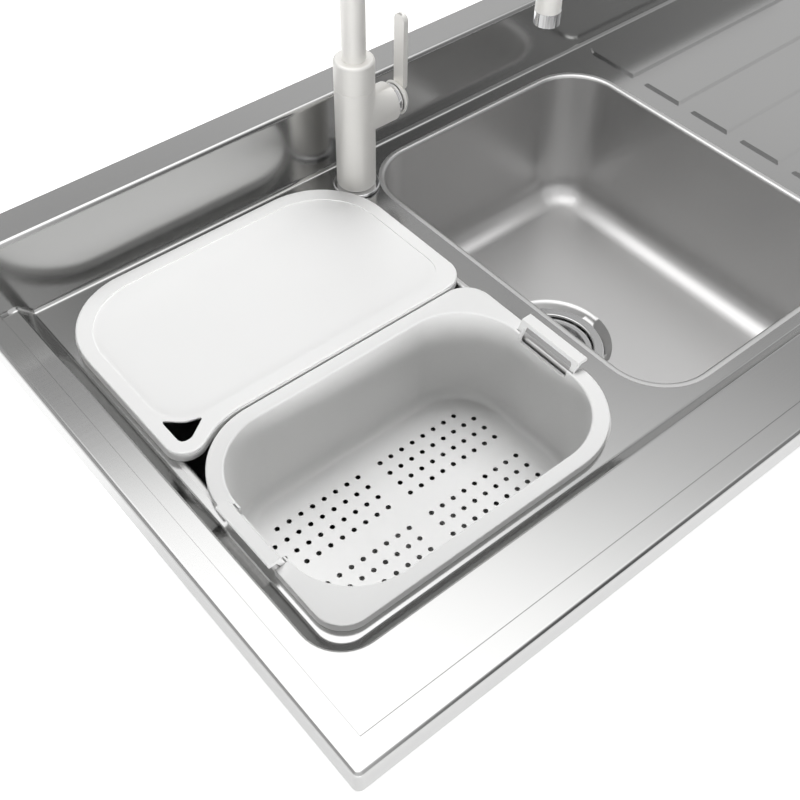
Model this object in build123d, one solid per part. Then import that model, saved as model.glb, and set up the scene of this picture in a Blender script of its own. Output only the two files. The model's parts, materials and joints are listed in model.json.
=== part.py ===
"""Top-mount kitchen sink: one folded steel top with an upstand, two drawn bowls, a fluted drainer,
waste fittings, a single-lever tap, and a cutting board and a colander that rest over the left bowl.

Millimetres, +Z up, +X to the right, +Y to the back. The origin is the middle of the footprint, on the
plane where the frame rests on the cabinet.
"""
from build123d import *
import math
import os

# Folded top
sink_width = 1200.0
sink_depth = 600.0
sheet = 1.0
rim_height = 27.0
rim_step = 13.0
side_rim_width = 37.0
front_rim_width = 75.0
outer_corner_radius = 6.0
outer_edge_radius = 4.0
rim_edge_radius = 3.0
slope_foot_radius = 4.0
deck_corner_radius = 25.0
slope_angle = 45.0
side_crease_inset = 21.0
front_crease_inset = 23.0
rear_crease_inset = 17.5
crease_step = 0.8

# Upstand along the back
upstand_rise = 89.0
upstand_depth = 41.0
upstand_foot_radius = 5.0
upstand_top_radius = 5.0

# Bowls, measured between their walls
left_bowl_inset = 65.0
bowl_width = 323.0
divider = 41.0
bowl_front_gap = 18.5
bowl_rear_gap = 27.5
bowl_depth = 171.0
bowl_corner_radius = 56.0
bowl_lip_radius = 4.0
bowl_lip_drop = 5.0
bowl_flange = 3.0
bowl_floor_radius = 32.0
bowl_draft = 2.0
drain_shift_x = 53.5
drain_shift_y = 11.0
recess_radius = 69.0
recess_foot_radius = 61.0
recess_depth = 9.0
drain_hole_radius = 51.5

# Drainer field beside the right bowl
drainer_gap = 32.0
drainer_side_margin = 12.0
drainer_front_margin = 12.0
drainer_rear_margin = 12.0
drainer_rise = 3.0
drainer_corner_radius = 14.0
channel_count = 5
channel_pitch = 71.0
channel_width = 17.5
channel_end_land = 26.0

# Frame under the top
rail_wall = 1.5
rail_edge = 1.2
front_rail_width = 30.0
side_rail_width = 17.0
rear_rail_width = 23.0
cross_rail_width = 25.0
cross_rail_height = 12.5
rail_fit = 0.5
rear_rail_tap_clearance = 36.0
drainer_rail_shares = (0.25, 0.75)

# Brackets that hold the frame to the cabinet
bracket_length = 40.0
bracket_height = 56.0
bracket_drop = 36.0
bracket_thickness = 2.0
bracket_spacing = 380.0
bracket_corner_radius = 4.0
bracket_hole_radius = 2.3
bracket_hole_edge = 12.0
bracket_screw_radius = 2.0
bracket_screw_length = 9.0
bracket_screw_head_radius = 4.0
bracket_screw_head_height = 2.2

# Sound-deadening pads under the bowl floors
pad_width = 90.0
pad_length = 220.0
pad_thickness = 2.5
pad_corner_radius = 8.0
pad_drain_clearance = 14.0

# Waste fitting of each bowl
drain_gasket_thickness = 1.5
drain_gasket_inner_radius = 52.5
waste_flange_radius = 59.5
waste_flange_thickness = 1.2
waste_cup_radius = 50.4
waste_cup_depth = 44.0
waste_grid_count = 8
waste_grid_radius = 21.0
waste_grid_hole_radius = 4.5
under_gasket_thickness = 3.0
under_gasket_radius = 60.0
waste_body_radius = 60.0
waste_body_flange = 4.0
waste_body_wall = 3.0
waste_body_clearance = 1.5
waste_body_depth = 58.0
waste_neck_radius = 24.0
waste_neck_length = 24.0
waste_neck_wall = 3.5
waste_boss_radius = 8.0
waste_rib = 3.0
waste_screw_radius = 3.0
waste_screw_length = 24.0
waste_screw_head_radius = 6.5
waste_screw_head_height = 3.0
waste_screw_fit = 0.2
tail_radius = 20.0
tail_wall = 1.8
tail_neck_radius = 19.4
tail_neck_length = 14.0
tail_length = 64.0
tail_collar_radius = 23.0
tail_collar_thickness = 3.0
tail_seal_thickness = 2.5
tail_nut_radius = 30.0
tail_nut_wall_below = 4.0
tail_nut_overlap = 17.0
tail_nut_ribs = 12
tail_nut_rib_radius = 2.0
thread_gap = 0.1

# Strainer basket in each waste
basket_rim_radius = 47.6
basket_rim_drop = 1.6
basket_sheet = 0.8
basket_cup_radius = 42.5
basket_foot_radius = 37.5
basket_depth = 36.0
basket_hole_radius = 2.0
basket_floor_rings = 2
basket_floor_ring_pitch = 8.0
basket_floor_first_ring = 17.0
basket_floor_hole_pitch = 8.0
basket_wall_holes = 20
basket_wall_rows = 3
basket_wall_row_pitch = 8.0
basket_centre_hole_radius = 3.1
basket_seal_thickness = 3.5
basket_seal_outer_radius = 36.0
basket_seal_inner_radius = 11.0
knob_radius = 9.0
knob_height = 12.0
knob_stem_radius = 3.0
knob_rise = 15.0
knob_edge_radius = 3.0
rest_gap = 0.3

# Cutting board over the back of the left bowl
board_left_rest = 10.0
board_right_rest = 7.5
board_rear_gap = 19.0
board_front_shift = 9.5
board_thickness = 12.0
board_rear_radius = 78.0
board_front_radius = 25.0
board_nose_radius = 19.0
board_bulge = 16.5
board_bulge_start = 53.5
board_bulge_foot = 25.2
board_bulge_outer_radius = 20.0
board_bulge_inner_radius = 86.0
board_top_edge = 1.6
board_seam_height = 0.6
board_seam_depth = 0.6
board_under_edge = 1.2
board_field_side = 13.5
board_field_front = 13.5
board_field_rear = 15.5
board_field_depth = 1.0
board_field_rear_radius = 68.0
board_field_front_radius = 36.0
board_field_right_radius = 28.0
hole_inset = 12.5
hole_front_inset = 13.2
hole_height = 33.0
hole_width = 31.8
hole_tip_rise = 14.0
hole_waist_x = 16.1
hole_waist_y = 19.0
hole_foot_width = 11.0
hole_tip_radius = 2.0
hole_waist_radius = 24.0
hole_foot_radius = 6.0
hole_skin = 2.2
hole_relief = 8.0

# Colander over the front of the left bowl
colander_side_gap = 3.5
colander_front_gap = 1.7
colander_board_gap = 1.7
colander_wall = 2.2
colander_corner_radius = 68.0
colander_draft = 2.0
colander_depth = 102.0
colander_floor_radius = 12.0
colander_floor_thickness = 2.4
colander_flange_side = 12.3
colander_flange_end = 12.6
colander_flange_height = 8.0
colander_flange_top = 2.4
colander_skirt = 2.2
colander_open_corner_radius = 78.0
colander_pad_corner_radius = 28.0
colander_edge_radius = 1.2
colander_mouth_radius = 2.0
colander_columns = 19
colander_rows = 9
colander_hole_side_margin = 37.4
colander_hole_end_margin = 42.72
colander_hole_radius = 2.5
colander_hole_flare_radius = 4.4
handle_length = 73.0
handle_post = 6.0
handle_height = 18.0
handle_bar_thickness = 3.6
handle_bar_width = 11.2
handle_bar_reach = 5.1
handle_sill_drop = 2.0
handle_edge_radius = 1.0

# Tap
tap_rear_gap = 41.0
tap_hole_radius = 17.5
tap_gasket_thickness = 1.0
tap_gasket_radius = 23.0
tap_gasket_inner_radius = 16.6
base_ring_radius = 24.5
base_ring_height = 3.0
base_ring_edge_radius = 1.2
shank_radius = 16.0
shank_length = 52.0
shank_socket_depth = 14.0
shank_socket_fit = 0.05
inlet_radius = 5.0
inlet_depth = 14.0
inlet_spacing = 14.0
under_washer_radius = 24.0
under_washer_thickness = 3.0
steel_washer_thickness = 2.0
shank_nut_radius = 23.0
shank_nut_sides = 6
shank_nut_height = 8.0
body_radius = 20.5
body_height = 118.0
body_foot_radius = 4.0
body_top_radius = 1.5
spigot_radius = 15.0
spigot_bore_radius = 12.0
spigot_height = 24.0
spigot_fit = 0.05
valve_height = 86.0
valve_reach = 42.0
valve_cavity_radius = 15.0
valve_cavity_depth = 30.0
cartridge_fit = 0.1
rotor_outer_radius = 11.0
rotor_shoulder_radius = 13.2
rotor_flange_thickness = 2.5
rotor_bore_radius = 6.0
rotor_length = 8.0
rotor_fit = 0.05
rotor_end_gap = 0.3
retainer_inner_radius = 12.0
retainer_thickness = 4.0
cap_radius = 17.6
cap_wall = 1.5
cap_mouth_angle = 34.5
lever_hub_gap = 0.6
lever_hub_wall = 3.0
lever_hub_angle = 60.0
lever_stem_radius = 3.2
lever_ball_fit = 0.05
lever_pin_radius = 1.5
lever_pin_inset = 0.5
lever_pin_fit = 0.05
lever_blade_length = 92.0
lever_blade_width = 15.0
lever_blade_thickness = 7.0
lever_blade_tip_radius = 7.0
lever_blade_edge_radius = 2.5
lever_screw_radius = 2.0
lever_screw_length = 5.0
sleeve_height = 30.0
sleeve_edge_radius = 3.0
spout_tube_radius = 12.0
spout_tube_wall = 1.5
spout_rise = 222.0
spout_bend_radius = 90.0
spout_drop = 16.0
spout_rest_angle = -45.0
spout_seal_section = 1.2
spout_seal_spacing = 9.0
spout_seal_count = 2
aerator_radius = 12.4
aerator_height = 13.0
aerator_wall = 1.8
aerator_overlap = 5.0
aerator_insert_height = 6.0
aerator_hole_radius = 1.0
aerator_hole_rings = 2
aerator_hole_ring_pitch = 3.4
aerator_hole_first_count = 6
aerator_fit = 0.1

overrun = 5.0

# Levels and places worked out from the sizes above
deck_z = rim_height - rim_step
upstand_z = deck_z + upstand_rise
half_width = sink_width / 2
half_depth = sink_depth / 2
wall_y = half_depth - upstand_depth
slope_run = rim_step / math.tan(math.radians(slope_angle))
deck_half_width = half_width - side_rim_width - slope_run
deck_front_y = -half_depth + front_rim_width + slope_run
left_bowl_x = -half_width + left_bowl_inset + bowl_width / 2
right_bowl_x = left_bowl_x + bowl_width + divider
divider_x = (left_bowl_x + right_bowl_x) / 2
bowl_rear_y = wall_y - bowl_rear_gap
bowl_front_y = deck_front_y + bowl_front_gap
bowl_length = bowl_rear_y - bowl_front_y
bowl_y = (bowl_front_y + bowl_rear_y) / 2
floor_z = deck_z - bowl_depth
recess_z = floor_z - recess_depth
drain_y = bowl_y + drain_shift_y
drains = {"left": left_bowl_x + drain_shift_x, "right": right_bowl_x - drain_shift_x}
board_left = left_bowl_x - bowl_width / 2 - board_left_rest
board_right = left_bowl_x + bowl_width / 2 + board_right_rest
board_rear = wall_y - board_rear_gap
board_front = bowl_y + board_front_shift
colander_width = bowl_width - 2 * colander_side_gap
colander_front = bowl_front_y + colander_front_gap
colander_length = board_front - colander_board_gap - colander_flange_end - colander_front
bowls = {"left": left_bowl_x, "right": right_bowl_x}
drainer_left = right_bowl_x + bowl_width / 2 + drainer_gap
drainer_right = deck_half_width - drainer_side_margin
drainer_front = deck_front_y + drainer_front_margin
drainer_rear = wall_y - drainer_rear_margin
rail_top = rim_height - sheet
tap_x = divider_x
tap_y = wall_y - tap_rear_gap
tap_foot_z = tap_gasket_thickness + base_ring_height
spigot_top = tap_foot_z + body_height + spigot_height
DOWN = (0, 0, -1)


def column(face, low, high):
    """Straight prism of a face drawn on the XY plane, from one level to another."""
    return extrude(Pos(0, 0, low) * face, amount=high - low)


def tapered_up(face, low, height, angle):
    """Prism of a face drawn on the XY plane that narrows upwards by an angle, or widens if negative."""
    return extrude(Pos(0, 0, low) * face, amount=height, taper=angle)


def tapered_down(width, length, radius, x, y, top, depth, angle):
    """Rounded pocket that narrows downwards from its top level."""
    plane = Plane(origin=(x, y, top), x_dir=(1, 0, 0), z_dir=DOWN)
    return extrude(plane * RectangleRounded(width, length, radius), amount=depth, taper=angle)


def block(x0, x1, y0, y1, z0, z1):
    """Box between six planes."""
    middle = ((x0 + x1) / 2, (y0 + y1) / 2, (z0 + z1) / 2)
    return Pos(*middle) * Box(x1 - x0, y1 - y0, z1 - z0)


def tube(outer, inner, low, high, x=0.0, y=0.0):
    """Upright ring between two radii and two levels."""
    ring = Circle(outer) - Circle(inner) if inner > 0 else Circle(outer)
    return column(Pos(x, y) * ring, low, high)


def disc(radius, low, high, x=0.0, y=0.0):
    """Upright cylinder between two levels."""
    return column(Pos(x, y) * Circle(radius), low, high)


def edges_at(shape, z=None, x=None, y=None, tolerance=sheet / 100):
    """Edges that lie whole on the given level or planes."""
    found = []
    for edge in shape.edges():
        box = edge.bounding_box()
        ends = ((box.min.X, box.max.X, x), (box.min.Y, box.max.Y, y), (box.min.Z, box.max.Z, z))
        if all(v is None or (abs(a - v) < tolerance and abs(b - v) < tolerance) for a, b, v in ends):
            found.append(edge)
    return found


def mouth_edges(shape):
    """Inner edges of a shape's highest flat face, round its mouth."""
    return shape.faces().sort_by(Axis.Z)[-1].inner_wires()[0].edges()


def revolved(points, x=0.0, y=0.0):
    """Solid of revolution about an upright axis, from (radius, level) points in order."""
    outline = make_face(Polyline(*[(r, 0, z) for r, z in points], close=True))
    return Pos(x, y) * revolve(outline, Axis.Z)


def rounded_outline(corners):
    """Face inside straight sides whose corners (x, y, radius) are rounded one by one."""
    points = [(x, y) for x, y, _ in corners]
    return make_face(FilletPolyline(*points, radius=[r for _, _, r in corners], close=True))


def write(name, shape):
    """Write one sub-part as parts/NAME.step."""
    solids = shape.solids()
    export_step(solids[0] if len(solids) == 1 else Compound(children=solids), f"parts/{name}.step")


def top_envelope(inset):
    """Everything under the top's surface moved inwards by a depth, so two of them make the sheet."""
    lean = inset * math.tan(math.radians(slope_angle / 2))
    corner = RectangleRounded(2 * (half_width - inset), 2 * (half_depth - inset), outer_corner_radius - inset)
    low = -overrun if inset > 0 else 0
    body = column(corner, low, rim_height - inset)
    rear = column(corner, low, upstand_z - inset)
    rear &= block(-half_width, half_width, wall_y + inset, half_depth, low, upstand_z)
    front = deck_front_y - lean
    back = wall_y + upstand_depth
    pocket_face = Pos(0, (front + back) / 2) * RectangleRounded(
        2 * (deck_half_width + lean), back - front, deck_corner_radius + lean)
    pocket = tapered_up(pocket_face, deck_z - inset, rim_step + overrun, -slope_angle)
    pocket &= block(-sink_width, sink_width, -sink_depth, wall_y + inset, deck_z - inset, rim_height)
    body = body - pocket + drainer_field(inset, lean)
    shoulder = crease_step + (upstand_z - rim_height)
    outside = column(Rectangle(sink_width, sink_depth), rim_height - inset - crease_step, rim_height)
    inside_back = half_depth
    inside_front = -half_depth + front_crease_inset + inset
    inside = column(Pos(0, (inside_front + inside_back) / 2) * Rectangle(
        2 * (half_width - side_crease_inset - inset), inside_back - inside_front),
        rim_height - inset - shoulder, rim_height + shoulder)
    low_band = (outside - inside) & block(-half_width, half_width, -half_depth, wall_y + inset,
                                          0, rim_height)
    high_band = block(-half_width, half_width, half_depth - rear_crease_inset - inset, half_depth,
                      upstand_z - inset - crease_step, upstand_z)
    return (body - low_band) + (rear - high_band)


def drainer_field(inset, lean):
    """Raised drainer panel with its channels, standing on the deck."""
    left = drainer_left + lean
    right = drainer_right - lean
    front = drainer_front + lean
    rear = drainer_rear - lean
    base = deck_z - inset
    middle_x = (left + right) / 2
    middle_y = (front + rear) / 2
    outline = RectangleRounded(right - left, rear - front, drainer_corner_radius - lean)
    face = Pos(middle_x, middle_y) * outline
    field = tapered_up(face, base, drainer_rise, slope_angle)
    channel_right = drainer_right - channel_end_land
    width = channel_width + 2 * lean
    for index in range(channel_count):
        y = bowl_y + (index - (channel_count - 1) / 2) * channel_pitch
        start = drainer_left - 2 * channel_width
        spot = Pos((start + channel_right) / 2, y)
        channel = spot * RectangleRounded(channel_right - start, width, width / 2 - sheet)
        field -= tapered_up(channel, base, drainer_rise + overrun, -slope_angle)
    return field


def soften_top(shape, inset):
    """Round the folds of the top: the upstand's foot and ledge, the slopes' foot and head, the outer edge."""
    level = deck_z - inset
    lean = inset * math.tan(math.radians(slope_angle / 2))
    foot = (deck_half_width + lean, deck_front_y - lean)
    head = (half_width - side_rim_width + lean, -half_depth + front_rim_width - lean)
    outside = (half_width - inset, -half_depth + inset)
    shape = fillet(fold_edges(shape, rim_height - inset, head), rim_edge_radius - inset)
    shape = fillet(fold_edges(shape, rim_height - crease_step - inset, outside), outer_edge_radius - inset)
    shape = fillet(fold_edges(shape, level, foot), slope_foot_radius + inset)
    shape = fillet(edges_at(shape, z=level, y=wall_y + inset), upstand_foot_radius + inset)
    return fillet(edges_at(shape, z=upstand_z - inset, y=wall_y + inset), upstand_top_radius - inset)


def fold_edges(shape, level, reach):
    """Edges of one level that run round the left, front and right at the given half width and front."""
    side, front = reach
    slack = sheet / 10
    found = []
    for edge in edges_at(shape, z=level):
        box = edge.bounding_box()
        at_side = abs(max(abs(box.min.X), abs(box.max.X)) - side) < slack
        at_front = abs(box.min.Y - front) < slack
        on_wall = box.min.Y > wall_y - upstand_foot_radius - slack
        if (at_side or at_front) and not on_wall:
            found.append(edge)
    return found


def bowl_opening(x, grow):
    """Rounded outline of a bowl's mouth, grown outwards from its walls."""
    return Pos(x, bowl_y) * RectangleRounded(bowl_width + 2 * grow, bowl_length + 2 * grow,
                                             bowl_corner_radius + grow)


def sink_top():
    """Folded top sheet with its rims, upstand, drainer, bowl openings and tap hole."""
    outer = soften_top(top_envelope(0), 0)
    inner = soften_top(top_envelope(sheet), sheet)
    top = outer - inner
    for x in bowls.values():
        top -= column(bowl_opening(x, bowl_lip_radius + bowl_flange), deck_z - rim_step, upstand_z)
    return top - disc(tap_hole_radius, deck_z - rim_step, upstand_z, tap_x, tap_y)


def bowl(x, drain_x):
    """Drawn bowl: a flange and lip at the deck, drafted walls, a rounded floor and the drain recess."""
    lip_bottom = deck_z - bowl_lip_drop

    def lip(inset):
        outer = column(bowl_opening(x, bowl_lip_radius + bowl_flange), lip_bottom, deck_z - inset)
        ring = outer - column(bowl_opening(x, inset), lip_bottom, deck_z)
        return fillet(mouth_edges(ring), bowl_lip_radius - inset)

    def pocket(grow):
        depth = bowl_depth - bowl_lip_drop + grow
        shape = tapered_down(bowl_width + 2 * grow, bowl_length + 2 * grow, bowl_corner_radius + grow,
                             x, bowl_y, lip_bottom, depth, bowl_draft)
        shape = fillet(edges_at(shape, z=floor_z - grow), bowl_floor_radius + grow)
        recess = revolved([(0, floor_z), (recess_radius + grow, floor_z - grow),
                           (recess_foot_radius + grow, recess_z - grow), (0, recess_z - grow)],
                          drain_x, drain_y)
        return shape + recess

    shell = pocket(sheet) - pocket(0)
    shell -= disc(drain_hole_radius, recess_z - overrun, floor_z, drain_x, drain_y)
    return shell + (lip(0) - lip(sheet))


def rail(length, width, height, along_x):
    """C-shaped rail standing on its lower flange, centred on the origin, open towards its inner side."""
    outer = Rectangle(width, height)
    outer = chamfer(outer.vertices().group_by(Axis.Y)[0], rail_edge)
    across = outer - Pos(rail_wall, 0) * Rectangle(width, height - 2 * rail_wall)
    profile = Plane(origin=(0, -length / 2, height / 2), x_dir=(1, 0, 0), z_dir=(0, 1, 0)) * across
    shape = extrude(profile, amount=length)
    return Rot(0, 0, 90) * shape if along_x else shape


def build_rails():
    """Frame rails under the top, by node name."""
    inner_side = half_width - sheet - rail_fit
    front_y = -half_depth + sheet + rail_fit + front_rail_width / 2
    rim_rail = rail_top - crease_step - rail_fit
    side_length = sink_depth - 2 * (sheet + rail_fit + outer_corner_radius / 2)
    side_x = inner_side - side_rail_width / 2
    span = 2 * (inner_side - side_rail_width - rail_fit)
    under_deck = cross_rail_height
    bowl_side = deck_front_y - slope_run
    rear_y = bowl_rear_y + sheet + rail_fit + bowl_lip_radius + rear_rail_width / 2
    rails = {
        "front_rail": Pos(0, front_y) * rail(span, front_rail_width, rim_rail, True),
        "left_rail": Pos(-side_x, 0) * Rot(0, 0, 180) * rail(side_length, side_rail_width, rim_rail, False),
        "right_rail": Pos(side_x, 0) * rail(side_length, side_rail_width, rim_rail, False),
    }
    cross_front = front_y + front_rail_width / 2 + rail_fit
    cross_rear = rear_y - rear_rail_width / 2 - rail_fit
    tap_front = tap_y - rear_rail_tap_clearance
    divider_length = tap_front - cross_front
    rails["divider_rail"] = Pos(divider_x, (tap_front + cross_front) / 2) * rail(
        divider_length, cross_rail_width, under_deck, False)
    length = cross_rear - cross_front
    for name, share in zip(("drainer_rail_inner", "drainer_rail_outer"), drainer_rail_shares):
        x = drainer_left + share * (drainer_right - drainer_left)
        spot = Pos(x, (cross_rear + cross_front) / 2)
        rails[name] = spot * rail(length, cross_rail_width, under_deck, False)
    edge = inner_side - side_rail_width - rail_fit
    for name, start, end in (("rear_rail_left", -edge, tap_x - rear_rail_tap_clearance),
                             ("rear_rail_right", tap_x + rear_rail_tap_clearance, edge)):
        rails[name] = Pos((start + end) / 2, rear_y) * rail(end - start, rear_rail_width, under_deck, True)
    return rails


def build_brackets():
    """Flat brackets that join the side rails to the cabinet's sides, and their screws."""
    face = half_width - sheet - rail_fit - side_rail_width
    plates = []
    screws = []
    for side in (-1, 1):
        for end in (-1, 1):
            y = end * bracket_spacing / 2
            plane = Plane(origin=(side * face, y, bracket_height / 2 - bracket_drop),
                          x_dir=(0, 1, 0), z_dir=(-side, 0, 0))
            outline = RectangleRounded(bracket_length, bracket_height, bracket_corner_radius)
            reach = bracket_height / 2 - bracket_hole_edge
            upper = Pos(0, reach) * Circle(bracket_hole_radius)
            lower = Pos(0, -reach) * Circle(bracket_hole_radius)
            plates.append(extrude(plane * (outline - upper - lower), amount=bracket_thickness))
            top = Plane(origin=plane.from_local_coords((0, reach, bracket_thickness)),
                        x_dir=(0, 1, 0), z_dir=(-side, 0, 0))
            head = extrude(top * Circle(bracket_screw_head_radius), amount=bracket_screw_head_height)
            shaft = extrude(top * Circle(bracket_screw_radius), amount=-bracket_screw_length)
            screws.append(head + shaft)
    return plates, screws


def screw_holes(shape, screws):
    """Clear the screws' own holes in a rail."""
    for screw in screws:
        shape -= screw
    return shape


def sound_pad(x, drain_x):
    """Flat deadening pad glued under a bowl's floor, beside its drain."""
    side = -1 if drain_x > x else 1
    centre = drain_x + side * (recess_radius + pad_drain_clearance + pad_width / 2)
    face = Pos(centre, bowl_y) * RectangleRounded(pad_width, pad_length, pad_corner_radius)
    return column(face, floor_z - sheet - pad_thickness, floor_z - sheet)


def build_waste(x):
    """Fixed pieces of one bowl's waste, by short name."""
    y = drain_y
    gasket_top = recess_z + drain_gasket_thickness
    flange_top = gasket_top + waste_flange_thickness
    cup_floor = flange_top - waste_cup_depth
    drain_gasket = tube(waste_flange_radius, drain_gasket_inner_radius, recess_z, gasket_top, x, y)
    parts = {"drain_gasket": drain_gasket}

    inner = waste_cup_radius - waste_flange_thickness
    flange = disc(waste_flange_radius, gasket_top, flange_top)
    flange += disc(waste_cup_radius, cup_floor - waste_flange_thickness, flange_top)
    flange -= disc(inner, cup_floor, flange_top)
    flange = fillet([e for e in edges_at(flange, z=flange_top) if e.bounding_box().max.X < waste_cup_radius],
                    waste_flange_thickness)
    for index in range(waste_grid_count):
        angle = 360 * index / waste_grid_count
        flange -= Rot(0, 0, angle) * Pos(waste_grid_radius, 0) * disc(
            waste_grid_hole_radius, cup_floor - overrun, cup_floor + overrun)
    flange -= disc(waste_screw_radius + waste_screw_fit, cup_floor - overrun, cup_floor + overrun)
    parts["waste_flange"] = Pos(x, y) * flange

    under = recess_z - sheet
    seal_low = under - under_gasket_thickness
    bore = waste_cup_radius + waste_body_clearance
    parts["under_gasket"] = tube(under_gasket_radius, bore + waste_body_clearance, seal_low, under, x, y)

    body_low = seal_low - waste_body_depth
    shell = disc(waste_body_radius, seal_low - waste_body_flange, seal_low)
    shell += disc(bore + waste_body_wall, body_low, seal_low)
    neck_low = body_low - waste_neck_length
    shell += disc(waste_neck_radius, neck_low, body_low)
    shell -= disc(bore, body_low + waste_body_wall, seal_low)
    neck_bore = waste_neck_radius - waste_neck_wall
    boss_top = cup_floor - waste_flange_thickness
    passage = disc(neck_bore, neck_low, body_low + waste_body_wall)
    boss = disc(waste_boss_radius, body_low, boss_top)
    rib_face = Rectangle(2 * neck_bore + waste_body_wall, waste_rib)
    rib = column(rib_face, body_low, body_low + waste_body_flange)
    shell = shell - passage + boss + (rib + Rot(0, 0, 90) * rib)
    shell -= disc(waste_screw_radius + thread_gap / 2, boss_top - waste_screw_length, boss_top)
    parts["waste_body"] = Pos(x, y) * shell

    head_low = cup_floor
    screw = disc(waste_screw_head_radius, head_low, head_low + waste_screw_head_height)
    slot = block(-waste_screw_head_radius, waste_screw_head_radius, -waste_screw_radius / 3,
                 waste_screw_radius / 3, head_low + waste_screw_head_height / 2, head_low + overrun)
    screw = screw - slot + disc(waste_screw_radius, head_low - waste_screw_length, head_low)
    parts["waste_screw"] = Pos(x, y) * screw

    seal_top = neck_low
    seal_bottom = seal_top - tail_seal_thickness
    parts["tail_seal"] = tube(tail_collar_radius, tail_radius - tail_wall, seal_bottom, seal_top, x, y)
    collar_bottom = seal_bottom - tail_collar_thickness
    tail = disc(tail_collar_radius, collar_bottom, seal_bottom)
    tail += disc(tail_neck_radius, seal_bottom - tail_length, seal_bottom)
    tail += disc(tail_radius, seal_bottom - tail_length, seal_bottom - tail_neck_length)
    tail -= disc(tail_radius - tail_wall, seal_bottom - tail_length, seal_bottom)
    parts["tail_pipe"] = Pos(x, y) * tail

    nut_low = collar_bottom - tail_nut_wall_below
    nut_top = neck_low + tail_nut_overlap
    nut = disc(tail_nut_radius - tail_nut_rib_radius, nut_low, nut_top)
    for index in range(tail_nut_ribs):
        angle = 360 * index / tail_nut_ribs
        nut += Rot(0, 0, angle) * Pos(tail_nut_radius - tail_nut_rib_radius, 0) * disc(
            tail_nut_rib_radius, nut_low, nut_top)
    nut -= disc(waste_neck_radius + thread_gap, collar_bottom, nut_top)
    nut -= disc(tail_radius + thread_gap, nut_low, nut_top)
    parts["tail_nut"] = Pos(x, y) * nut
    return parts


def build_basket(x):
    """Lift-out strainer of one waste, by short name: the perforated cup, its seal and its knob."""
    y = drain_y
    flange_top = recess_z + drain_gasket_thickness + waste_flange_thickness
    cup_floor = flange_top - waste_cup_depth
    seal_low = cup_floor + rest_gap
    seal_top = seal_low + basket_seal_thickness
    floor_low = seal_top
    top = floor_low + basket_depth
    slope = (basket_cup_radius - basket_foot_radius) / basket_depth
    outer = [(0, floor_low), (basket_foot_radius, floor_low), (basket_cup_radius, top - basket_rim_drop),
             (basket_rim_radius, top - basket_rim_drop), (basket_rim_radius, top), (0, top)]
    inner_top = basket_cup_radius - basket_sheet
    inner = [(0, floor_low + basket_sheet), (basket_foot_radius - basket_sheet, floor_low + basket_sheet),
             (inner_top, top - basket_rim_drop), (inner_top, top), (0, top)]
    cup = revolved(outer) - revolved(inner)
    holes = []
    for ring in range(basket_floor_rings):
        radius = basket_floor_first_ring + ring * basket_floor_ring_pitch
        count = int(2 * math.pi * radius / basket_floor_hole_pitch)
        for index in range(count):
            angle = 360 * index / count
            holes.append(Rot(0, 0, angle) * Pos(radius, 0) * disc(
                basket_hole_radius, floor_low - overrun, floor_low + overrun))
    for row in range(basket_wall_rows):
        z = floor_low + (row + 1) * basket_wall_row_pitch
        for index in range(basket_wall_holes):
            angle = 360 * (index + row / 2) / basket_wall_holes
            radius = basket_foot_radius + slope * (z - floor_low) - overrun
            plane = Plane(origin=(radius, 0, z), x_dir=(0, 1, 0), z_dir=(1, 0, 0))
            holes.append(Rot(0, 0, angle) * extrude(plane * Circle(basket_hole_radius), amount=2 * overrun))
    cup -= holes
    cup -= disc(basket_centre_hole_radius, floor_low - overrun, floor_low + overrun)
    knob_low = floor_low - waste_screw_head_height / 3
    stem_top = top + knob_rise - knob_height
    knob = disc(knob_radius, stem_top, stem_top + knob_height)
    knob = fillet(knob.edges(), knob_edge_radius)
    knob += disc(knob_stem_radius, knob_low + waste_screw_head_height / 3, stem_top + knob_edge_radius)
    knob += disc(knob_stem_radius + basket_sheet * 2, floor_low + basket_sheet,
                 floor_low + basket_sheet + knob_stem_radius)
    return {
        "basket": Pos(x, y) * cup,
        "basket_seal": tube(basket_seal_outer_radius, basket_seal_inner_radius, seal_low, seal_top, x, y),
        "basket_knob": Pos(x, y) * knob,
    }


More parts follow.
